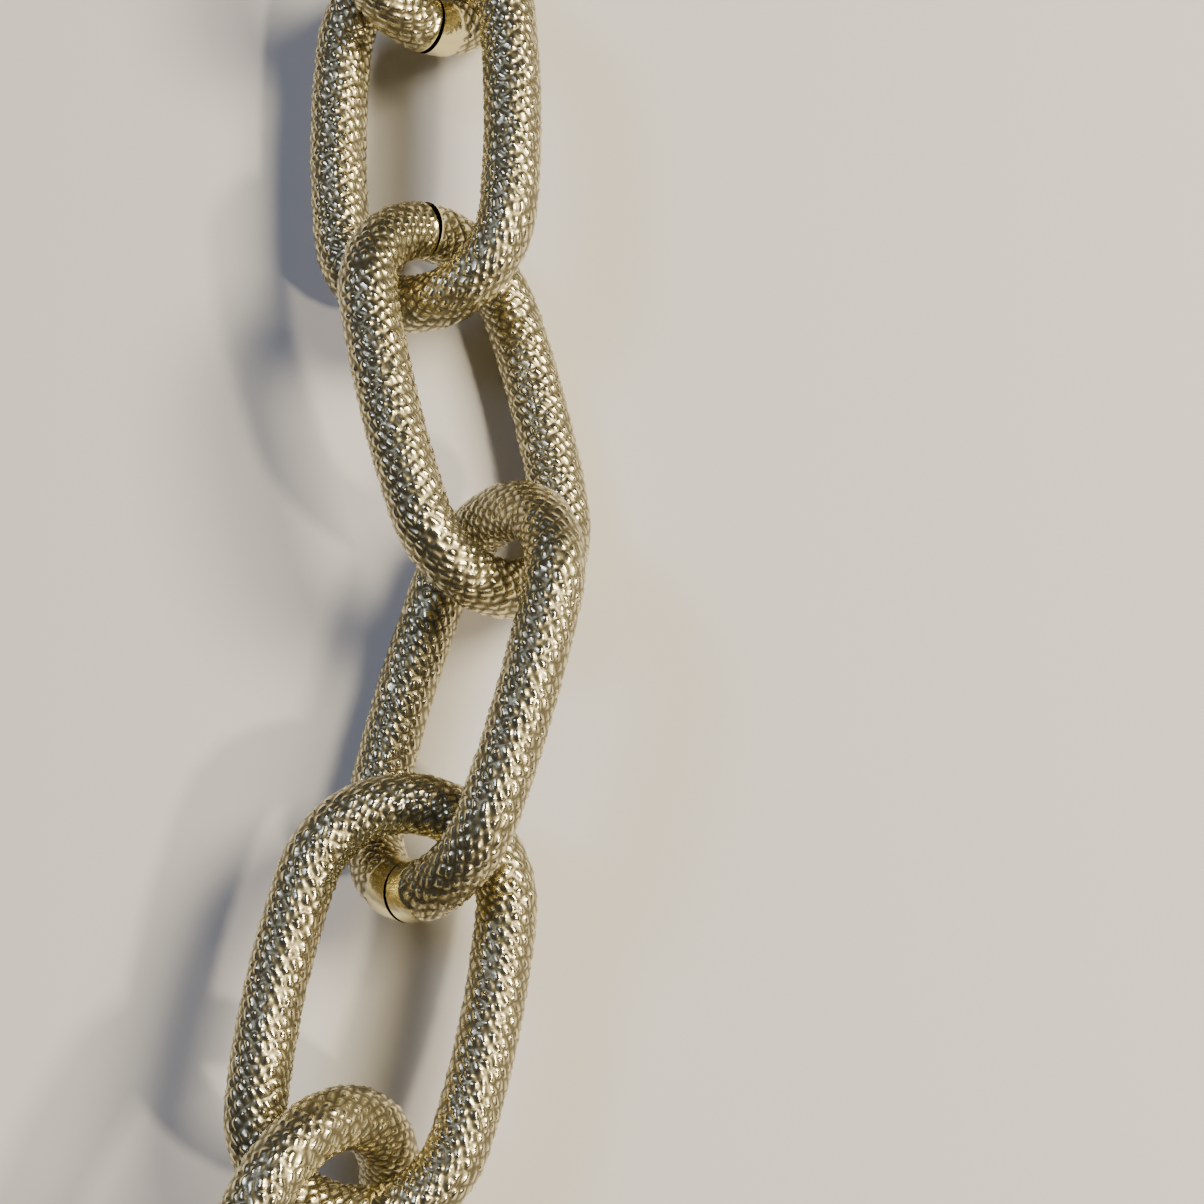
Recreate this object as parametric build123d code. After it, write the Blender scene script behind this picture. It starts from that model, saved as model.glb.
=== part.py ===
from build123d import *
import math
import os

# Chunky necklace chain of long oval links bent from embossed round wire, laid open in a gentle
# S on a table, with a jump ring at each end and a lobster clasp. Millimetres and degrees, +Z up.

# Links
WIRE = 6.0  # diameter of the embossed wire
LINK_LENGTH = 44.0  # over the outside
LINK_WIDTH = 26.0  # over the outside, at the middle
END_RADIUS = 9.5  # centreline radius of a link's rounded ends
SEAM_GAP = 0.3  # the two cut ends of the wire stop this far apart
BAR_GAP = 7.9  # how far two neighbours' end bars reach past each other, centre to centre

# Jump rings
RING_WIRE = 2.2
RING_HOLE = 10.0
RING_SPLIT = 0.15  # closed butt gap
RING_DROP = 1.6  # ring centre below the bar that it hangs on, square to the bar
RING_REACH = 0.4  # and beyond it

# Lobster clasp, in its own frame: eye at the origin, +Y to the tip, +X to the spine
EYE_HOLE = 4.6
EYE_WIRE = 1.8
BODY_THICKNESS = 4.6
BASE_MIDDLE = (0.1, 7.4)  # of the oval base that holds the lever's pin
BASE_HALF_WIDTH = 4.9
BASE_HALF_LENGTH = 4.5
BASE_ROUNDING = 0.9
HOOK_WIRE = 3.0
CLAW_FOOT = (3.5, 9.6)  # where the claw's spine leaves the base
CLAW_SPINE = (5.2, 13.0)
CLAW_SHOULDER = (5.5, 17.0)
CLAW_TOP = (0.2, 22.4)
CLAW_TIP = (-4.6, 17.6)
SLOT = 2.0  # width of the slot that the lever works in
LEVER_THICKNESS = 1.8
LEVER_ROUNDING = 0.35
PIN = 1.4
PIN_CLEARANCE = 0.05  # radial, between the pin and the lever
PIVOT = (-1.6, 8.2)
HUB_RADIUS = 1.7  # of the lever round the pin
GATE_TIP = (-2.85, 17.9)
GATE_TIP_RADIUS = 0.75
NUB = (6.4, 8.9)  # the thumb nub, at the end of the lever's arm
NUB_RADIUS = 1.25
ARM_HUB_RADIUS = 1.2
ARM_END = (6.2, 8.8)
ARM_END_RADIUS = 0.95
SPRING_STRIP = 0.25
SPRING_WIDTH = 1.2
SPRING_BEND = 0.35
CLASP_TILT = -11.0  # the tip lies on the table and the eye hangs on the ring

# How each link lies: heading of its run towards the next link from -Y, positive towards +X; roll
# about its own length; pitch; height of its middle; how far its end bar reaches past the next
# link's; the next link's sideways offset; the end that its seam is at, and the seam's angle from
# the middle of that end, towards the link's own +X.
FAR, NEAR = 1, -1
LINKS = [
    # heading, roll, pitch, height, reach, offset, seam end, seam angle
    (-76, 36, 0, 8.9, 8.2, 0.0, NEAR, -24),
    (-60, -42, 0, 9.7, BAR_GAP, 0.0, NEAR, 20),
    (-41, 42, 0, 9.7, BAR_GAP, 0.0, FAR, 22),
    (-21, -42, 0, 9.7, BAR_GAP, 0.0, FAR, -21),
    (-4, 43, 0, 9.9, 7.4, 0.4, NEAR, 7),
    (1, -24, 0, 9.8, 7.5, 0.8, FAR, 25),
    (14, 44, 0, 10.0, 7.5, 0.8, FAR, -2),
    (-17, -50, 2, 10.7, 8.2, 0.3, NEAR, 5),
    (-11, 5, -2, 11.0, 8.6, 0.0, NEAR, 23),
    (-25, 60, -2, 11.8, 8.1, 0.6, NEAR, -20),
    (-42, -42, 4, 10.4, BAR_GAP, 0.0, FAR, 18),
    (-61, 42, 0, 9.7, BAR_GAP, 0.0, NEAR, 26),
    (-80, -42, 0, 9.7, BAR_GAP, 0.0, FAR, -22),
    (-98, 36, 0, 8.9, BAR_GAP, 0.0, FAR, 20),
]

HALF = (LINK_LENGTH - WIRE) / 2  # centreline half length
HALF_WIDTH = (LINK_WIDTH - WIRE) / 2
ARC_CENTRE = HALF - END_RADIUS
# The bowed sides are arcs that run tangent into the rounded ends.
SIDE_RADIUS = (ARC_CENTRE**2 + HALF_WIDTH**2 - END_RADIUS**2) / (2 * (HALF_WIDTH - END_RADIUS))
SIDE_TURN = math.degrees(math.asin(ARC_CENTRE / (SIDE_RADIUS - END_RADIUS)))


def bar_of(profile_diameter, arcs):
    """A round bar along arcs that run into each other: (centre, radius, start angle, turn)."""
    path = Wire([CenterArc(centre, radius, start, turn) for centre, radius, start, turn in arcs])
    section = Plane(origin=path @ 0, z_dir=path % 0) * Circle(profile_diameter / 2)
    return sweep(section, path=path)


def oval_link(seam_end, seam_angle):
    """One link, flat in XY with its length along Y: wire bent round to a butt seam."""
    half_gap = math.degrees(SEAM_GAP / 2 / END_RADIUS)
    seam = 90 - seam_angle * seam_end
    side = SIDE_RADIUS - HALF_WIDTH
    link = bar_of(WIRE, [
        ((0, ARC_CENTRE), END_RADIUS, seam + half_gap, 180 - SIDE_TURN - seam - half_gap),
        ((side, 0), SIDE_RADIUS, 180 - SIDE_TURN, 2 * SIDE_TURN),
        ((0, -ARC_CENTRE), END_RADIUS, 180 + SIDE_TURN, 180 - 2 * SIDE_TURN),
        ((-side, 0), SIDE_RADIUS, -SIDE_TURN, 2 * SIDE_TURN),
        ((0, ARC_CENTRE), END_RADIUS, SIDE_TURN, seam - half_gap - SIDE_TURN),
    ])
    return link if seam_end == FAR else Rot(Z=180) * link


def along(heading):
    """Unit vector of a link's run towards the next link."""
    return Vector(math.sin(math.radians(heading)), -math.cos(math.radians(heading)), 0)


def across(heading):
    return Vector(math.cos(math.radians(heading)), math.sin(math.radians(heading)), 0)


def lay_links():
    """Locations of the links and, between each two, the point midway between their end bars."""
    places, pivots = [], []
    bar = Vector(0, 0, 0)
    for number, (heading, roll, pitch, height, reach, offset, _, _) in enumerate(LINKS):
        middle = bar + along(heading) * HALF
        places.append(Pos(middle.X, middle.Y, height) * Rot(Z=heading) * Rot(Y=roll) * Rot(X=pitch))
        if number == len(LINKS) - 1:
            break
        turned = (heading + LINKS[number + 1][0]) / 2
        far_bar = middle + along(heading) * HALF
        bar = far_bar - along(turned) * reach + across(turned) * offset
        mean_height = (height + LINKS[number + 1][3]) / 2
        pivots.append((far_bar + bar) / 2 + Vector(0, 0, mean_height))
    return places, pivots


def jump_ring():
    """An open ring in YZ, its butt gap at the bottom."""
    radius = (RING_HOLE + RING_WIRE) / 2
    half_gap = math.degrees(RING_SPLIT / 2 / radius)
    flat = bar_of(RING_WIRE, [((0, 0), radius, -90 + half_gap, 360 - 2 * half_gap)])
    return Plane.YZ.location * flat


def ring_place(link_place, end):
    """Where a jump ring hangs on a link's end bar: end is FAR or NEAR."""
    return link_place * Pos(0, end * (HALF + RING_REACH), -RING_DROP)


def slab(profile, thickness):
    """A flat plate of this profile, centred on XY."""
    return extrude(profile, amount=thickness / 2, both=True)


def clasp_body():
    """Eye, slotted base and curved claw, cast in one piece and drilled for the lever's pin."""
    eye = Torus((EYE_HOLE + EYE_WIRE) / 2, EYE_WIRE / 2)
    base = slab(Pos(*BASE_MIDDLE) * Ellipse(BASE_HALF_WIDTH, BASE_HALF_LENGTH), BODY_THICKNESS)
    base = fillet(base.edges(), BASE_ROUNDING)
    neck = slab(Pos(0, 3.3) * RectangleRounded(4.2, 1.8, 0.4), EYE_WIRE)
    spine = ThreePointArc(CLAW_FOOT, CLAW_SPINE, CLAW_SHOULDER)
    top = TangentArc(CLAW_SHOULDER, CLAW_TOP, tangent=spine % 1)
    tip = TangentArc(CLAW_TOP, CLAW_TIP, tangent=top % 1)
    claw = Wire([spine, top, tip])
    section = Plane(origin=claw @ 0, z_dir=claw % 0) * Circle(HOOK_WIRE / 2)
    claw_bar = sweep(section, path=claw)
    lever_slot = Pos(-1.6, 9.4) * Box(7.6, 8.2, SLOT)
    nub_slot = Pos(4.0, 7.75) * Box(4.8, 4.9, SLOT)
    pin_hole = Pos(*PIVOT) * Cylinder(PIN / 2, BODY_THICKNESS + 2)
    # the inner side of the claw's tip is filed flat where the lever shuts against it
    tip_flat = Pos(-2.75, 17.4) * Box(2.0, 3.6, HOOK_WIRE + 1)
    return base + neck + eye + claw_bar - lever_slot - nub_slot - pin_hole - tip_flat


def clasp_lever():
    """The gate and its thumb nub, one flat plate that turns on the pin."""
    hub, gate_tip = Pos(*PIVOT) * Circle(HUB_RADIUS), Pos(*GATE_TIP) * Circle(GATE_TIP_RADIUS)
    gate = make_hull([*hub.edges(), *gate_tip.edges()])
    arm_hub, arm_end = Pos(*PIVOT) * Circle(ARM_HUB_RADIUS), Pos(*ARM_END) * Circle(ARM_END_RADIUS)
    arm = make_hull([*arm_hub.edges(), *arm_end.edges()])
    nub = Pos(*NUB) * Circle(NUB_RADIUS)
    plate = slab(gate + arm + nub, LEVER_THICKNESS)
    faces = plate.faces().sort_by(Axis.Z)
    plate = fillet([*faces[0].edges(), *faces[-1].edges()], LEVER_ROUNDING)
    return plate - Pos(*PIVOT) * Cylinder(PIN / 2 + PIN_CLEARANCE, LEVER_THICKNESS + 1)


def lever_pin():
    """The rivet across the body, its ends flush."""
    return Pos(*PIVOT) * Cylinder(PIN / 2, BODY_THICKNESS)


def lever_spring():
    """A bent strip between the slot's floor and the underside of the nub's arm."""
    line = FilletPolyline((-0.6, 5.55), (3.6, 5.55), (0.9, 7.0), radius=SPRING_BEND)
    return slab(trace(line, SPRING_STRIP), SPRING_WIDTH)


places, pivots = lay_links()
links = [oval_link(row[6], row[7]) for row in LINKS]
pieces = {f"link_{n + 1:02d}": places[n] * links[n] for n in range(len(LINKS))}

ring_a = ring_place(places[0], FAR)
ring_b = ring_place(places[-1], NEAR)
pieces["jump_ring_a"] = ring_a * jump_ring()
pieces["jump_ring_b"] = ring_b * jump_ring()

# The eye's wire passes inside ring a, on the side away from the chain and below its middle.
EYE_IN_RING = Vector(0, 3.0, -1.8)
eye_wire = (ring_a * Pos(*EYE_IN_RING)).position
clasp_heading = LINKS[0][0]
clasp = Pos(*eye_wire) * Rot(Z=clasp_heading) * Rot(X=CLASP_TILT) * Pos(0, (EYE_HOLE + EYE_WIRE) / 2)
pieces["clasp_body"] = clasp * clasp_body()
pieces["clasp_lever"] = clasp * clasp_lever()
pieces["lever_pin"] = clasp * lever_pin()
pieces["lever_spring"] = clasp * lever_spring()

# The origin is under the middle of the chain's box, on the table.
box = Compound([*pieces.values()]).bounding_box()
to_origin = Pos(-box.center().X, -box.center().Y, -box.min.Z)
os.makedirs("parts", exist_ok=True)
for name, piece in pieces.items():
    export_step(to_origin * piece, f"parts/{name}.step")
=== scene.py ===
import bmesh
import bpy
import math
from mathutils import Matrix, Vector


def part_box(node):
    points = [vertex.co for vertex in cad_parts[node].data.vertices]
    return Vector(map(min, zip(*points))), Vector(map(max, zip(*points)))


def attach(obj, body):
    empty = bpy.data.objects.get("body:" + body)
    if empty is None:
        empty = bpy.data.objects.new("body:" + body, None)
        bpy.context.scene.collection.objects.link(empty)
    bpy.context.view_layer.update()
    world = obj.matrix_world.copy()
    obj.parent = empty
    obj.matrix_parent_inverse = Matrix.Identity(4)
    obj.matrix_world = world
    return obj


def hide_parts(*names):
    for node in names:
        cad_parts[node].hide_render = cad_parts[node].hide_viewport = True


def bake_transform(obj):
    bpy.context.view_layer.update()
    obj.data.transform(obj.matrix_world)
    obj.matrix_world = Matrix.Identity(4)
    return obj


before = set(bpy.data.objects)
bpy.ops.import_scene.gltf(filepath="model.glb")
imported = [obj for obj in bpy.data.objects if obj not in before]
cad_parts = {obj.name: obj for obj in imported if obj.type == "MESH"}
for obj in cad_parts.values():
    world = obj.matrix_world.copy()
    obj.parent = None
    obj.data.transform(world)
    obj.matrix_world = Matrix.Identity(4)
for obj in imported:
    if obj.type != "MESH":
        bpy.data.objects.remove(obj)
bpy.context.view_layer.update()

# ---------------------------------------------------------------------------------------------
# Table, light and camera: a plain pale table top under soft studio light. The camera looks down
# steeply on the links in the middle of the chain, which lie to the left in its view.


def add(tree, kind, inputs=None, **settings):
    """Adds one node with its settings; an input is a value, a socket, or a node's first output."""
    node = tree.nodes.new(kind)
    for name, value in settings.items():
        setattr(node, name, value)
    for name, value in (inputs or {}).items():
        if isinstance(value, bpy.types.Node):
            tree.links.new(value.outputs[0], node.inputs[name])
        elif isinstance(value, bpy.types.NodeSocket):
            tree.links.new(value, node.inputs[name])
        else:
            node.inputs[name].default_value = value
    return node


def srgb(hex_colour):
    """A linear colour, with alpha 1, from an sRGB hex value."""
    channels = [int(hex_colour[i:i + 2], 16) / 255 for i in (0, 2, 4)]
    return (*[c / 12.92 if c <= 0.04045 else ((c + 0.055) / 1.055) ** 2.4 for c in channels], 1.0)


def new_material(name):
    """An empty node material: the material, its tree, and its Principled BSDF's inputs."""
    material = bpy.data.materials.new(name)
    material.use_nodes = True
    return material, material.node_tree, material.node_tree.nodes["Principled BSDF"].inputs


table_material, tree, surface = new_material("matt_pale_paper")
surface["Base Color"].default_value = srgb("D6D2CA")
surface["Roughness"].default_value = 0.85
bpy.ops.mesh.primitive_plane_add(size=3.0, location=(0, 0, 0))
table = bpy.context.object
table.name = "table_top"
table.data.materials.append(table_material)

MM = 0.001  # the scene is in metres
middle_link = (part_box("link_07")[0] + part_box("link_07")[1]) / 2
VIEW_FROM_LINK = Vector((13.3, -17.3, 0)) * MM  # from the middle link to the middle of the view
look_at = Vector((middle_link.x, middle_link.y, 0)) + VIEW_FROM_LINK

CAMERA_DISTANCE = 227 * MM
CAMERA_ELEVATION = math.radians(77)
CAMERA_FIELD = math.radians(30)
camera_data = bpy.data.cameras.new("camera")
camera_data.angle = CAMERA_FIELD
camera_data.clip_start = 0.01
camera = bpy.data.objects.new("camera", camera_data)
bpy.context.scene.collection.objects.link(camera)
camera.rotation_euler = (math.pi / 2 - CAMERA_ELEVATION, 0, 0)
towards_camera = Vector((0, -math.cos(CAMERA_ELEVATION), math.sin(CAMERA_ELEVATION)))
camera.location = look_at + towards_camera * CAMERA_DISTANCE
bpy.context.scene.camera = camera


def studio_light(name, place, size, watts, colour):
    """A square area light that faces the middle of the view; place is from there, in metres."""
    data = bpy.data.lights.new(name, "AREA")
    data.size = size
    data.energy = watts
    data.color = srgb(colour)[:3]
    light = bpy.data.objects.new(name, data)
    light.location = look_at + Vector(place)
    light.rotation_euler = (-Vector(place)).to_track_quat("-Z", "Y").to_euler()
    bpy.context.scene.collection.objects.link(light)


studio_light("window_softbox", (0.50, 0.16, 0.60), 0.32, 11.0, "FFF3DA")
studio_light("sky_softbox", (-0.50, 0.25, 0.70), 0.3, 2.6, "C4D4FC")
studio_light("glint_lamp", (0.45, -0.35, 0.55), 0.05, 4.0, "FFF0D8")
world = bpy.data.worlds.new("studio")
bpy.context.scene.world = world
world.use_nodes = True
world.node_tree.nodes["Background"].inputs["Color"].default_value = srgb("8C8C90")
world.node_tree.nodes["Background"].inputs["Strength"].default_value = 0.2

# ---------------------------------------------------------------------------------------------
# Links: long ovals bent from 6 mm aluminium wire that was rolled with slanting rows of raised
# scales and then anodised a light champagne gold. The wire's two cut ends meet in an unwelded
# butt seam. Where the bending jaws held the wire beside it, they pressed the scales flat.

WIRE_RADIUS = 3.0
HALF_LENGTH = 19.0  # of the wire's centreline
HALF_WIDTH = 10.0
END_RADIUS = 9.5
SEAM_GAP = 0.3
ARC_CENTRE = HALF_LENGTH - END_RADIUS
SIDE_RADIUS = (ARC_CENTRE**2 + HALF_WIDTH**2 - END_RADIUS**2) / (2 * (HALF_WIDTH - END_RADIUS))
SIDE_TURN = math.asin(ARC_CENTRE / (SIDE_RADIUS - END_RADIUS))  # half the angle of a side's arc

# How each link lies on the table, from the clasp's end: heading, roll and pitch in degrees; the
# end that its seam is at, 1 towards the clasp, and the seam's angle from that end's middle; the
# lengths pressed flat after the wire's first cut and before its last; how far the seam gapes.
LAY = [
    (-76, 36, 0, -1, -24, 1.5, 0.6, 0.2),
    (-60, -42, 0, -1, 20, 0.3, 2.0, 0.3),
    (-41, 42, 0, 1, 22, 0.4, 0.3, 0.5),
    (-21, -42, 0, 1, -21, 2.2, 1.2, 0.1),
    (-4, 43, 0, -1, 7, 2.2, 0.1, 0.1),
    (1, -24, 0, 1, 25, 0.5, 1.8, 0.2),
    (14, 44, 0, 1, -2, 0.0, 0.0, 0.7),
    (-17, -50, 2, -1, 5, 1.8, 2.8, 0.1),
    (-11, 5, -2, -1, 23, 0.4, 0.4, 0.4),
    (-25, 60, -2, -1, -20, 1.6, 0.3, 0.2),
    (-42, -42, 4, 1, 18, 0.2, 2.4, 0.1),
    (-61, 42, 0, -1, 26, 0.3, 0.5, 0.5),
    (-80, -42, 0, 1, -22, 2.0, 1.4, 0.1),
    (-98, 36, 0, 1, 20, 0.6, 0.2, 0.3),
]


def wire_centreline(name, seam_end, seam_angle):
    """The oval centreline as a Bezier curve of round arcs, open at the seam, flat in XY."""
    half_gap = SEAM_GAP / 2 / END_RADIUS
    seam = math.pi / 2 - math.radians(seam_angle) * seam_end
    first, last = seam + half_gap, seam - half_gap
    left_start, left_stop = math.pi - SIDE_TURN, math.pi + SIDE_TURN
    half_first, half_last = (first + left_start) / 2, (SIDE_TURN + last) / 2
    seam_bend = (0, ARC_CENTRE, END_RADIUS)
    far_bend = (0, -ARC_CENTRE, END_RADIUS)
    left_side = (SIDE_RADIUS - HALF_WIDTH, 0, SIDE_RADIUS)
    right_side = (HALF_WIDTH - SIDE_RADIUS, 0, SIDE_RADIUS)
    arcs = [
        (seam_bend, first, half_first),
        (seam_bend, half_first, left_start),
        (left_side, left_start, left_stop),
        (far_bend, left_stop, 1.5 * math.pi),
        (far_bend, 1.5 * math.pi, 2 * math.pi - SIDE_TURN),
        (right_side, -SIDE_TURN, SIDE_TURN),
        (seam_bend, SIDE_TURN, half_last),
        (seam_bend, half_last, last),
    ]
    curve = bpy.data.curves.new(name, "CURVE")
    curve.dimensions = "3D"
    curve.twist_mode = "Z_UP"
    curve.resolution_u = 32
    spline = curve.splines.new("BEZIER")
    spline.bezier_points.add(len(arcs))
    for point in spline.bezier_points:
        point.handle_left_type = "FREE"
        point.handle_right_type = "FREE"
    for n, ((x, y, radius), start, stop) in enumerate(arcs):
        reach = 4 / 3 * math.tan((stop - start) / 4) * radius
        for point, angle, handle, sign in (
            (spline.bezier_points[n], start, "handle_right", 1),
            (spline.bezier_points[n + 1], stop, "handle_left", -1),
        ):
            at = Vector((x + radius * math.cos(angle), y + radius * math.sin(angle), 0))
            forward = Vector((-math.sin(angle), math.cos(angle), 0))
            # a seam at the end away from the clasp is half a turn round
            point.co = at * seam_end
            setattr(point, handle, (at + forward * sign * reach) * seam_end)
    spline.bezier_points[0].handle_left = spline.bezier_points[0].co
    spline.bezier_points[-1].handle_right = spline.bezier_points[-1].co
    return curve


# The pattern that the rolls leave: lengths in millimetres, and shares of a scale or of the relief.
ROLLING = {
    "Relief Depth": 0.26,
    "Rows Around": 17.0,  # slanting rows of scales that a circle round the wire crosses
    "Row Pitch": 1.42,  # from row to row along the wire, which slants the rows 38 degrees
    "Cuts Around": 8.0,  # cross cuts that divide the rows into scales
    "Cut Pitch": 1.36,
    "Stagger": 0.7,  # how far a row's cuts may be out of line with the next row's, in scales
    "Wander": 1.2,  # the whole width, in scales, of the band that a row or a cut strays in
    "Wander Scale": 0.6,  # waves to the millimetre, nearly
    "Row Groove": 0.34,  # how far a groove's slope reaches into a row, in rows
    "Cut Groove": 0.26,
    "Cut Groove Floor": 0.1,  # of the relief; the cuts are shallower than the row grooves
    "Scale Height": 0.62,  # of the relief, at a scale's middle
    "Height Spread": 0.36,
    "Tilt": 2.0,  # twice the most that a scale may slope across its width, as a share of the relief
    "Worn Scale": 0.9,
    "Worn From": 0.52,  # the noise at which the rolls begin to be worn
    "Worn To": 0.75,
    "Worn Height": 0.6,  # of a scale, at the floor of a groove that worn rolls made
    "Flat Height": 0.8,  # of the relief, where the jaws pressed it
    "Flat Fade": 0.6,  # the length over which a pressed length ends
}


def embossed_wire_nodes():
    """The node tree that thickens a centreline into wire and rolls the rows of scales into it."""
    tree = bpy.data.node_groups.new("embossed_wire", "GeometryNodeTree")
    face = tree.interface
    face.new_socket("Centreline", in_out="INPUT", socket_type="NodeSocketGeometry")
    for name in ("Wire Radius", *ROLLING, "First Flat", "Last Flat", "Seam Gape", "Seam End", "Seed"):
        face.new_socket(name, in_out="INPUT", socket_type="NodeSocketFloat")
    for name in ("Points Along", "Points Around"):
        face.new_socket(name, in_out="INPUT", socket_type="NodeSocketInt")
    face.new_socket("Finish", in_out="INPUT", socket_type="NodeSocketMaterial")
    face.new_socket("Wire", in_out="OUTPUT", socket_type="NodeSocketGeometry")
    given = tree.nodes.new("NodeGroupInput").outputs

    # the wire, with its own measures kept on its points: along, around, middle and run
    path = add(tree, "GeometryNodeResampleCurve",
               {"Curve": given["Centreline"], "Count": given["Points Along"]})
    spline = add(tree, "GeometryNodeSplineParameter").outputs
    place = add(tree, "GeometryNodeInputPosition")
    length = add(tree, "GeometryNodeSplineLength")
    tangent = add(tree, "GeometryNodeInputTangent")
    for name, value, kind in (
        ("along", spline["Length"], "FLOAT"),
        ("wire_length", length, "FLOAT"),
        ("middle", place, "FLOAT_VECTOR"),
        ("run", tangent, "FLOAT_VECTOR"),
    ):
        path = add(tree, "GeometryNodeStoreNamedAttribute",
                   {"Geometry": path, "Name": name, "Value": value}, data_type=kind)
    ring = add(tree, "GeometryNodeCurvePrimitiveCircle",
               {"Resolution": given["Points Around"], "Radius": given["Wire Radius"]}, mode="RADIUS")
    ring = add(tree, "GeometryNodeStoreNamedAttribute",
               {"Geometry": ring, "Name": "around", "Value": spline["Factor"]}, data_type="FLOAT")
    wire = add(tree, "GeometryNodeCurveToMesh",
               {"Curve": path, "Profile Curve": ring, "Fill Caps": True})
    # a cut end is the wire's only kind of face with more than four corners
    corners = add(tree, "GeometryNodeInputMeshFaceNeighbors").outputs["Vertex Count"]
    cut_end = add(tree, "ShaderNodeMath", {0: corners, 1: 4.5}, operation="GREATER_THAN")
    wire = add(tree, "GeometryNodeStoreNamedAttribute",
               {"Geometry": wire, "Name": "cut_end", "Value": cut_end},
               data_type="FLOAT", domain="FACE")
    along = add(tree, "GeometryNodeInputNamedAttribute", {"Name": "along"}, data_type="FLOAT")
    around = add(tree, "GeometryNodeInputNamedAttribute", {"Name": "around"}, data_type="FLOAT")
    wire_length = add(tree, "GeometryNodeInputNamedAttribute", {"Name": "wire_length"},
                      data_type="FLOAT")
    middle = add(tree, "GeometryNodeInputNamedAttribute", {"Name": "middle"},
                 data_type="FLOAT_VECTOR")
    run = add(tree, "GeometryNodeInputNamedAttribute", {"Name": "run"}, data_type="FLOAT_VECTOR")

    # the rolls wander, so neither the rows nor the cuts are quite even
    wander = add(tree, "ShaderNodeTexNoise",
                 {"Vector": place, "W": given["Seed"], "Scale": given["Wander Scale"], "Detail": 2.0},
                 noise_dimensions="4D")
    wander = add(tree, "ShaderNodeVectorMath",
                 {0: wander.outputs["Color"], 1: (0.5, 0.5, 0.5)}, operation="SUBTRACT")
    wander = add(tree, "ShaderNodeSeparateXYZ", {0: wander}).outputs
    row = add(tree, "ShaderNodeMath", {0: along, 1: given["Row Pitch"]}, operation="DIVIDE")
    row = add(tree, "ShaderNodeMath", {0: around, 1: given["Rows Around"], 2: row},
              operation="MULTIPLY_ADD")
    row = add(tree, "ShaderNodeMath", {0: wander[0], 1: given["Wander"], 2: row},
              operation="MULTIPLY_ADD")
    row_number = add(tree, "ShaderNodeMath", {0: row}, operation="ROUND")
    off_row = add(tree, "ShaderNodeMath", {0: row, 1: row_number}, operation="SUBTRACT")
    # a row that has gone once round the wire has a number less by the rows around
    laps = add(tree, "ShaderNodeMath", {0: row_number, 1: given["Rows Around"]}, operation="DIVIDE")
    laps = add(tree, "ShaderNodeMath", {0: laps}, operation="FLOOR")
    own_row = add(tree, "ShaderNodeMath", {0: laps, 1: given["Rows Around"]}, operation="MULTIPLY")
    own_row = add(tree, "ShaderNodeMath", {0: row_number, 1: own_row}, operation="SUBTRACT")
    row_chance = add(tree, "ShaderNodeTexWhiteNoise", {"Vector": own_row, "W": given["Seed"]},
                     noise_dimensions="4D")
    cut = add(tree, "ShaderNodeMath", {0: along, 1: given["Cut Pitch"]}, operation="DIVIDE")
    turned = add(tree, "ShaderNodeMath", {0: around, 1: given["Cuts Around"]}, operation="MULTIPLY")
    cut = add(tree, "ShaderNodeMath", {0: turned, 1: cut}, operation="SUBTRACT")
    cut = add(tree, "ShaderNodeMath", {0: wander[1], 1: given["Wander"], 2: cut},
              operation="MULTIPLY_ADD")
    cut = add(tree, "ShaderNodeMath", {0: row_chance, 1: given["Stagger"], 2: cut},
              operation="MULTIPLY_ADD")
    cut_number = add(tree, "ShaderNodeMath", {0: cut}, operation="ROUND")
    off_cut = add(tree, "ShaderNodeMath", {0: cut, 1: cut_number}, operation="SUBTRACT")
    own_cut = add(tree, "ShaderNodeMath", {0: laps, 1: given["Cuts Around"]}, operation="MULTIPLY")
    own_cut = add(tree, "ShaderNodeMath", {0: cut_number, 1: own_cut}, operation="SUBTRACT")

    # each scale has a flat top with soft edges: half a pitch from its middle is the groove's floor
    from_row_edge = add(tree, "ShaderNodeMath", {0: off_row}, operation="ABSOLUTE")
    row_top_edge = add(tree, "ShaderNodeMath", {0: 0.5, 1: given["Row Groove"]},
                       operation="SUBTRACT")
    row_top = add(tree, "ShaderNodeMapRange",
                  {"Value": from_row_edge, "From Min": 0.5, "From Max": row_top_edge,
                   "To Min": 0.0, "To Max": 1.0}, interpolation_type="SMOOTHSTEP")
    from_cut_edge = add(tree, "ShaderNodeMath", {0: off_cut}, operation="ABSOLUTE")
    cut_top_edge = add(tree, "ShaderNodeMath", {0: 0.5, 1: given["Cut Groove"]},
                       operation="SUBTRACT")
    cut_top = add(tree, "ShaderNodeMapRange",
                  {"Value": from_cut_edge, "From Min": 0.5, "From Max": cut_top_edge,
                   "To Min": given["Cut Groove Floor"], "To Max": 1.0},
                  interpolation_type="SMOOTHSTEP")
    scale = add(tree, "ShaderNodeMath", {0: row_top, 1: cut_top}, operation="MULTIPLY")
    # here and there the rolls were worn, and the groove between two scales is shallow
    worn = add(tree, "ShaderNodeTexNoise",
               {"Vector": place, "W": given["Seed"], "Scale": given["Worn Scale"], "Detail": 1.0},
               noise_dimensions="4D")
    worn = add(tree, "ShaderNodeMapRange",
               {"Value": worn, "From Min": given["Worn From"], "From Max": given["Worn To"],
                "To Min": 0.0, "To Max": given["Worn Height"]})
    scale = add(tree, "ShaderNodeMath", {0: scale, 1: worn}, operation="MAXIMUM")
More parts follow.
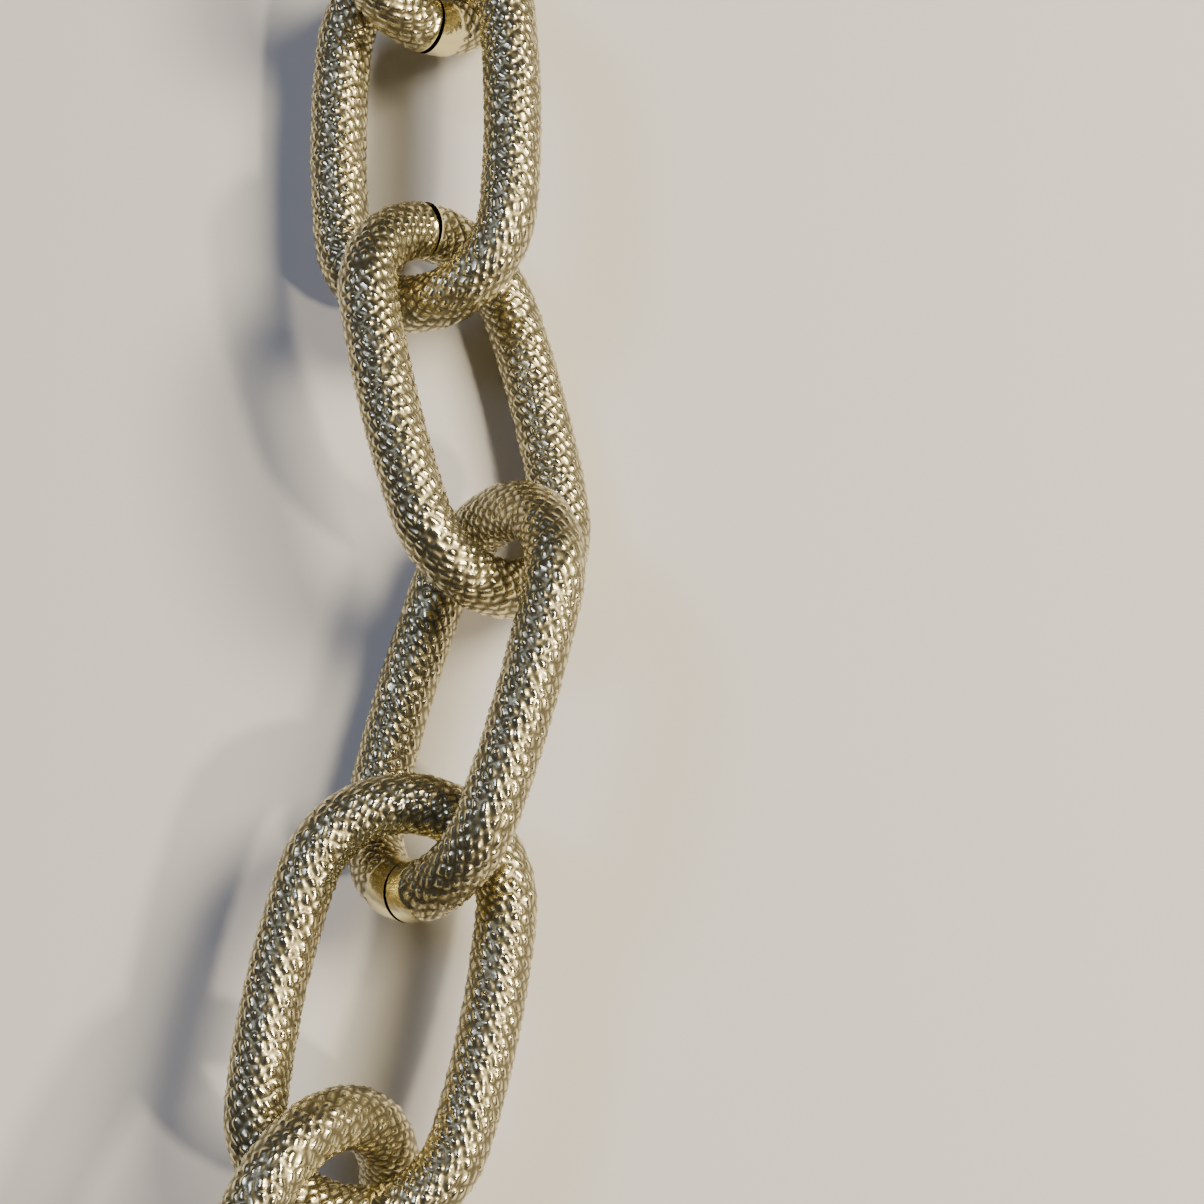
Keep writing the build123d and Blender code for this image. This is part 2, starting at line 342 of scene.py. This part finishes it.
    # no two scales are pressed alike in height or tilt
    own_name = add(tree, "ShaderNodeCombineXYZ", {0: own_row, 1: own_cut, 2: given["Seed"]})
    chance = add(tree, "ShaderNodeTexWhiteNoise", {"Vector": own_name}, noise_dimensions="3D")
    chance = add(tree, "ShaderNodeVectorMath",
                 {0: chance.outputs["Color"], 1: (0.5, 0.5, 0.5)}, operation="SUBTRACT")
    chance = add(tree, "ShaderNodeSeparateXYZ", {0: chance}).outputs
    height = add(tree, "ShaderNodeMath",
                 {0: chance[2], 1: given["Height Spread"], 2: given["Scale Height"]},
                 operation="MULTIPLY_ADD")
    row_tilt = add(tree, "ShaderNodeMath", {0: chance[0], 1: off_row}, operation="MULTIPLY")
    cut_tilt = add(tree, "ShaderNodeMath", {0: chance[1], 1: off_cut}, operation="MULTIPLY")
    top = add(tree, "ShaderNodeMath", {0: row_tilt, 1: given["Tilt"], 2: height},
              operation="MULTIPLY_ADD")
    top = add(tree, "ShaderNodeMath", {0: cut_tilt, 1: given["Tilt"], 2: top},
              operation="MULTIPLY_ADD")
    relief = add(tree, "ShaderNodeMath", {0: scale, 1: top}, operation="MULTIPLY", use_clamp=True)

    # pressed flat beside the seam
    to_last = add(tree, "ShaderNodeMath", {0: wire_length, 1: along}, operation="SUBTRACT")
    first_flat_end = add(tree, "ShaderNodeMath", {0: given["First Flat"], 1: given["Flat Fade"]},
                         operation="ADD")
    first_flat = add(tree, "ShaderNodeMapRange",
                     {"Value": along, "From Min": given["First Flat"], "From Max": first_flat_end,
                      "To Min": 1.0, "To Max": 0.0}, interpolation_type="SMOOTHSTEP")
    last_flat_end = add(tree, "ShaderNodeMath", {0: given["Last Flat"], 1: given["Flat Fade"]},
                        operation="ADD")
    last_flat = add(tree, "ShaderNodeMapRange",
                    {"Value": to_last, "From Min": given["Last Flat"], "From Max": last_flat_end,
                     "To Min": 1.0, "To Max": 0.0}, interpolation_type="SMOOTHSTEP")
    flat = add(tree, "ShaderNodeMath", {0: first_flat, 1: last_flat}, operation="MAXIMUM")
    relief = add(tree, "ShaderNodeMix", {"Factor": flat, "A": relief, "B": given["Flat Height"]})

    # the pattern is pressed in from the wire's full thickness
    inwards = add(tree, "ShaderNodeVectorMath", {0: middle, 1: place}, operation="SUBTRACT")
    inwards = add(tree, "ShaderNodeVectorMath", {0: inwards}, operation="NORMALIZE")
    depth = add(tree, "ShaderNodeMath", {0: 1.0, 1: relief}, operation="SUBTRACT")
    depth = add(tree, "ShaderNodeMath", {0: depth, 1: given["Relief Depth"]}, operation="MULTIPLY")
    pressed = add(tree, "ShaderNodeVectorMath", {0: inwards, "Scale": depth}, operation="SCALE")

    # the seam gapes on the outside of the bend, where the wire sprang back after bending: the wire
    # is drawn back from the cut by half the gape, and by half of that again 1 mm further on
    outwards = add(tree, "ShaderNodeCombineXYZ", {1: given["Seam End"]})
    outside = add(tree, "ShaderNodeVectorMath", {0: inwards, 1: outwards}, operation="DOT_PRODUCT")
    outside = add(tree, "ShaderNodeMath", {0: outside.outputs["Value"], 1: -0.25, 2: 0.25},
                  operation="MULTIPLY_ADD")
    to_seam = add(tree, "ShaderNodeMath", {0: along, 1: to_last}, operation="MINIMUM")
    fading = add(tree, "ShaderNodeMath", {0: to_seam, 1: -0.7}, operation="MULTIPLY")
    fading = add(tree, "ShaderNodeMath", {0: fading}, operation="EXPONENT")
    which = add(tree, "ShaderNodeMath", {0: to_last, 1: along}, operation="SUBTRACT")
    which = add(tree, "ShaderNodeMath", {0: which}, operation="SIGN")
    draw = add(tree, "ShaderNodeMath", {0: outside, 1: fading}, operation="MULTIPLY")
    draw = add(tree, "ShaderNodeMath", {0: draw, 1: which}, operation="MULTIPLY")
    draw = add(tree, "ShaderNodeMath", {0: draw, 1: given["Seam Gape"]}, operation="MULTIPLY")
    drawn = add(tree, "ShaderNodeVectorMath", {0: run, "Scale": draw}, operation="SCALE")
    offset = add(tree, "ShaderNodeVectorMath", {0: pressed, 1: drawn}, operation="ADD")

    for name, value in (("relief", relief), ("jaw_flat", flat)):
        wire = add(tree, "GeometryNodeStoreNamedAttribute",
                   {"Geometry": wire, "Name": name, "Value": value}, data_type="FLOAT")
    wire = add(tree, "GeometryNodeSetPosition", {"Geometry": wire, "Offset": offset})
    wire = add(tree, "GeometryNodeRealizeInstances", {"Geometry": wire})
    wire = add(tree, "GeometryNodeSetMaterial", {"Geometry": wire, "Material": given["Finish"]})
    add(tree, "NodeGroupOutput", {0: wire})
    return tree


def embossed_aluminium():
    """Rolled aluminium wire, champagne anodised: bright on the scales, and darker olive in the
    grooves between them, partly dirt and partly painted shade; a clearer yellow where the jaws
    pressed it smooth."""
    material, tree, surface = new_material("champagne_anodised_embossed_aluminium")
    relief = add(tree, "ShaderNodeAttribute", attribute_name="relief").outputs["Fac"]
    jaw_flat = add(tree, "ShaderNodeAttribute", attribute_name="jaw_flat").outputs["Fac"]
    groove, scale_top = 0.1, 0.6  # shares of the relief
    # the grooves are painted darker olive: partly dirt in them, partly painted shade
    colour = add(tree, "ShaderNodeValToRGB", {"Fac": relief})
    colour.color_ramp.elements[0].position = groove
    colour.color_ramp.elements[0].color = srgb("7C7458")
    colour.color_ramp.elements[1].position = scale_top
    colour.color_ramp.elements[1].color = srgb("E2D7AE")
    polished = add(tree, "ShaderNodeMix", {"Factor": jaw_flat, 6: colour, 7: srgb("E4D8A4")},
                   data_type="RGBA")
    # the cut ends are painted near black: painted shade for the dark slit of the seam
    cut_end = add(tree, "ShaderNodeAttribute", attribute_name="cut_end").outputs["Fac"]
    ends = add(tree, "ShaderNodeMix", {"Factor": cut_end, 6: polished.outputs[2], 7: srgb("4A4232")},
               data_type="RGBA")
    tree.links.new(ends.outputs[2], surface["Base Color"])
    surface["Metallic"].default_value = 1.0
    shine = add(tree, "ShaderNodeMapRange",
                {"Value": relief, "From Min": groove, "From Max": scale_top,
                 "To Min": 0.42, "To Max": 0.18})
    tree.links.new(shine.outputs[0], surface["Roughness"])
    where = add(tree, "ShaderNodeTexCoord").outputs["Object"]
    # dents from the rolls, half a millimetre across, and pits five to the millimetre
    dents = add(tree, "ShaderNodeTexNoise", {"Vector": where, "Scale": 2 / MM, "Detail": 0.0})
    pits = add(tree, "ShaderNodeTexNoise", {"Vector": where, "Scale": 5 / MM, "Detail": 2.0})
    pits = add(tree, "ShaderNodeMath", {0: pits, 1: 0.3, 2: dents}, operation="MULTIPLY_ADD")
    bump = add(tree, "ShaderNodeBump", {"Height": pits, "Strength": 0.5, "Distance": 0.06 * MM})
    tree.links.new(bump.outputs[0], surface["Normal"])
    return material


scale_rolls = embossed_wire_nodes()
link_finish = embossed_aluminium()
for number, row in enumerate(LAY, start=1):
    heading, roll, pitch, seam_end, seam_angle, first_flat, last_flat, gape = row
    node = f"link_{number:02d}"
    centreline = bpy.data.objects.new(node, wire_centreline(node, seam_end, seam_angle))
    bpy.context.scene.collection.objects.link(centreline)
    rolled = centreline.modifiers.new("embossed_wire", "NODES")
    rolled.node_group = scale_rolls
    settings = {
        **ROLLING,
        "Wire Radius": WIRE_RADIUS,
        "First Flat": first_flat,
        "Last Flat": last_flat,
        "Seam Gape": gape,
        "Seam End": float(seam_end),
        "Seed": 7.0 * number,
        "Points Along": 610,  # one every 0.16 mm, a ninth of a scale
        "Points Around": 104,
        "Finish": link_finish,
    }
    for socket in scale_rolls.interface.items_tree:
        if socket.name in settings:
            rolled[socket.identifier] = settings[socket.name]
    rolled_wire = centreline.evaluated_get(bpy.context.evaluated_depsgraph_get())
    mesh = bpy.data.meshes.new_from_object(rolled_wire)
    bpy.data.objects.remove(centreline)
    low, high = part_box(node)
    lie = Matrix.Translation((low + high) / 2)
    for angle, axis in ((heading, "Z"), (roll, "Y"), (pitch, "X")):
        lie = lie @ Matrix.Rotation(math.radians(angle), 4, axis)
    mesh.transform(lie @ Matrix.Scale(MM, 4))
    mesh.shade_smooth()
    mesh.set_sharp_from_angle(angle=math.radians(60))
    link = bpy.data.objects.new("embossed_" + node, mesh)
    bpy.context.scene.collection.objects.link(link)
    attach(link, node)
    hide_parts(node)

# ---------------------------------------------------------------------------------------------
# Jump rings: one at each end of the chain, of 2.2 mm drawn brass wire, wound, cut and closed to a
# butt joint, then polished and plated the same light gold as the links.


def plated_brass(name, colour, dull_colour, roughness, ripple, ripple_depth):
    """Brass under thin gold plate: clear and warm, dulled by handling in patches 3 mm across, and
    with fine scratches two ways. The ripple left by making it has a width and a depth in mm."""
    material, tree, surface = new_material(name)
    where = add(tree, "ShaderNodeTexCoord").outputs["Object"]
    handled = add(tree, "ShaderNodeTexNoise",
                  {"Vector": where, "Scale": 0.35 / MM, "Detail": 4.0, "Roughness": 0.6})
    dulled = add(tree, "ShaderNodeMapRange",
                 {"Value": handled, "From Min": 0.4, "From Max": 0.65, "To Min": 0.0, "To Max": 1.0})
    tint = add(tree, "ShaderNodeMix", {"Factor": dulled, 6: srgb(colour), 7: srgb(dull_colour)},
               data_type="RGBA")
    tree.links.new(tint.outputs[2], surface["Base Color"])
    surface["Metallic"].default_value = 1.0
    shine = add(tree, "ShaderNodeMapRange",
                {"Value": dulled, "To Min": roughness * 0.85, "To Max": roughness * 1.3})
    tree.links.new(shine.outputs[0], surface["Roughness"])
    rippled = add(tree, "ShaderNodeTexNoise",
                  {"Vector": where, "Scale": 1.0 / (ripple * MM), "Detail": 1.0})
    rippled = add(tree, "ShaderNodeBump",
                  {"Height": rippled, "Strength": 1.0, "Distance": ripple_depth * MM})
    # scratches a tenth of a millimetre wide
    scratches = {"Scale": 9.0 / MM, "Detail": 1.0}
    lengthwise = add(tree, "ShaderNodeMapping", {"Vector": where, "Scale": (1.0, 0.06, 1.0)})
    lengthwise = add(tree, "ShaderNodeTexNoise", {"Vector": lengthwise, **scratches})
    crosswise = add(tree, "ShaderNodeMapping", {"Vector": where, "Scale": (0.06, 1.0, 0.4)})
    crosswise = add(tree, "ShaderNodeTexNoise", {"Vector": crosswise, **scratches})
    scratched = add(tree, "ShaderNodeMath", {0: lengthwise, 1: crosswise}, operation="MULTIPLY")
    scratched = add(tree, "ShaderNodeBump",
                    {"Height": scratched, "Strength": 0.4, "Distance": 0.004 * MM, "Normal": rippled})
    tree.links.new(scratched.outputs[0], surface["Normal"])
    return material


ring_finish = plated_brass("gold_plated_drawn_brass", "EBD79C", "D9BC72", 0.16, 1.6, 0.006)
for node in ("jump_ring_a", "jump_ring_b"):
    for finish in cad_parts[node].material_slots:
        finish.material = ring_finish

# ---------------------------------------------------------------------------------------------
# Lobster clasp: a body cast in brass and a lever stamped from brass plate, both tumbled to a polish
# and plated. The rivet through them was filed flush after it was peened, and shows bare brass.

cast_finish = plated_brass("gold_plated_cast_brass", "EDD898", "D6B66A", 0.18, 0.9, 0.008)
lever_finish = plated_brass("gold_plated_stamped_brass", "EAD492", "D3B266", 0.2, 0.7, 0.005)
rivet_finish = plated_brass("filed_brass_rivet", "D8BC74", "C2A05A", 0.32, 0.3, 0.01)
clasp_finishes = {"clasp_body": cast_finish, "clasp_lever": lever_finish, "lever_pin": rivet_finish}
for node, brass in clasp_finishes.items():
    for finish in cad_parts[node].material_slots:
        finish.material = brass

# ---------------------------------------------------------------------------------------------
# Lever spring: a bent strip of bright spring steel in the clasp's slot, that pushes the lever's
# arm. It was rolled lengthwise and is left bare, so it has fine straight lines and a grey shine.


def rolled_spring_steel():
    """Bare rolled steel strip: grey, with rolling lines a twentieth of a millimetre apart."""
    material, tree, surface = new_material("bare_rolled_spring_steel")
    where = add(tree, "ShaderNodeTexCoord").outputs["Object"]
    lines = add(tree, "ShaderNodeMapping", {"Vector": where, "Scale": (0.05, 0.05, 1.0)})
    lines = add(tree, "ShaderNodeTexNoise", {"Vector": lines, "Scale": 20.0 / MM, "Detail": 2.0})
    tint = add(tree, "ShaderNodeMix", {"Factor": lines, 6: srgb("A8A8A6"), 7: srgb("C8C8C4")},
               data_type="RGBA")
    tree.links.new(tint.outputs[2], surface["Base Color"])
    surface["Metallic"].default_value = 1.0
    surface["Roughness"].default_value = 0.32
    bump = add(tree, "ShaderNodeBump", {"Height": lines, "Strength": 0.4, "Distance": 0.004 * MM})
    tree.links.new(bump.outputs[0], surface["Normal"])
    return material


# the strip's free leg follows the lever's arm, and its other leg stays on the slot's floor
strip_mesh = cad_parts["lever_spring"].data.copy()
welded = bmesh.new()
welded.from_mesh(strip_mesh)
bmesh.ops.remove_doubles(welded, verts=welded.verts, dist=0.0005 * MM)
welded.to_mesh(strip_mesh)
welded.free()
strip_mesh.materials.clear()
strip_mesh.materials.append(rolled_spring_steel())
spring_strip = bpy.data.objects.new("bent_spring_strip", strip_mesh)
bpy.context.scene.collection.objects.link(spring_strip)
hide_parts("lever_spring")
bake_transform(spring_strip)
